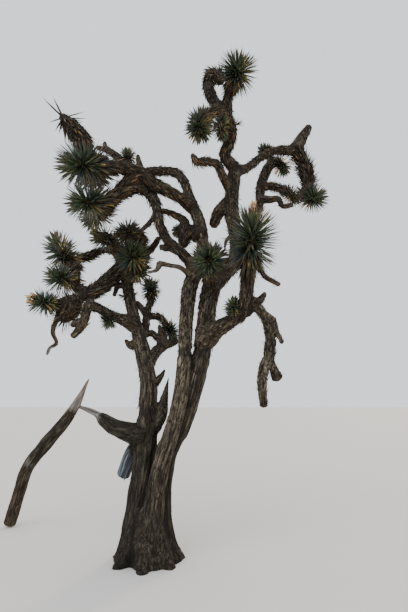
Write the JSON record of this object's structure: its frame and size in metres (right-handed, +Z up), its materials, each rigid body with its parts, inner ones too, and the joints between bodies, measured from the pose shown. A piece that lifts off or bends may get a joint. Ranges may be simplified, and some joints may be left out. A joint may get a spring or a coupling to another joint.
{
  "type": "joshua tree",
  "caption": "Desert tree with fused leaning stems, crooked bark-plated limbs and heads of dagger leaves at their tips, with broken and dead arms, rooted at a flat ground cut.",
  "frame": {"origin": "middle of the trunk's flat cut at ground level", "axes": "+Z up the trunk, +X to the right in the picture, +Y away from the picture's viewer"},
  "size_m": [4.309, 2.2862, 5.6858],
  "materials": {
    "corky_bark": "deeply cracked corky bark in plates, grey brown",
    "dead_wood": "weathered dead limb, grey to tan",
    "dagger_leaves": "stiff dagger leaves, dull olive to blue green",
    "dry_leaves": "dead leaves, straw to rust brown"
  },
  "bodies": {
    "root": {"trunk": "corky_bark", "left_stem": "corky_bark", "middle_stem": "corky_bark", "right_stem": "corky_bark", "leader": "corky_bark", "top_leader": "corky_bark", "west_arm": "corky_bark", "east_arm": "corky_bark", "east_drop": "corky_bark", "riser": "corky_bark", "elbow_bough": "corky_bark", "elbow_riser": "corky_bark", "hanging_bough": "corky_bark", "left_leader": "corky_bark", "arch_top": "corky_bark", "upper_bough": "corky_bark", "upper_spur": "corky_bark", "middle_bough": "corky_bark", "cross_bough": "corky_bark", "lower_bough": "corky_bark", "dead_arm": "corky_bark", "bridge_limb": "corky_bark", "falling_bough": "corky_bark", "low_arm": "corky_bark", "drooping_arm": "corky_bark", "outer_riser": "corky_bark", "outer_arm": "corky_bark", "back_arm": "corky_bark", "back_twig": "corky_bark", "fallen_arm": "dead_wood", "low_bough": "corky_bark", "top_head": "dagger_leaves", "cap_head": "dry_leaves", "west_head": "dagger_leaves", "hanging_tuft": "dagger_leaves", "arm_tuft": "dagger_leaves", "riser_head": "dagger_leaves", "riser_arm": "dagger_leaves", "east_head": "dagger_leaves", "great_head": "dagger_leaves", "front_head": "dagger_leaves", "elbow_tuft": "dagger_leaves", "left_head": "dagger_leaves", "side_head": "dagger_leaves", "left_plume": "dry_leaves", "middle_head": "dagger_leaves", "lower_head": "dagger_leaves", "upper_tuft": "dagger_leaves", "hooked_head": "dagger_leaves", "front_stem_head": "dagger_leaves", "side_stem_head": "dagger_leaves", "knobby_head": "dagger_leaves", "ragged_head": "dry_leaves", "outer_great_head": "dagger_leaves", "outer_side_head": "dagger_leaves", "outer_arm_head": "dagger_leaves", "low_arm_tuft": "dagger_leaves", "inner_head": "dagger_leaves", "back_head": "dagger_leaves", "curled_head": "dagger_leaves"}
  },
  "joints": []
}
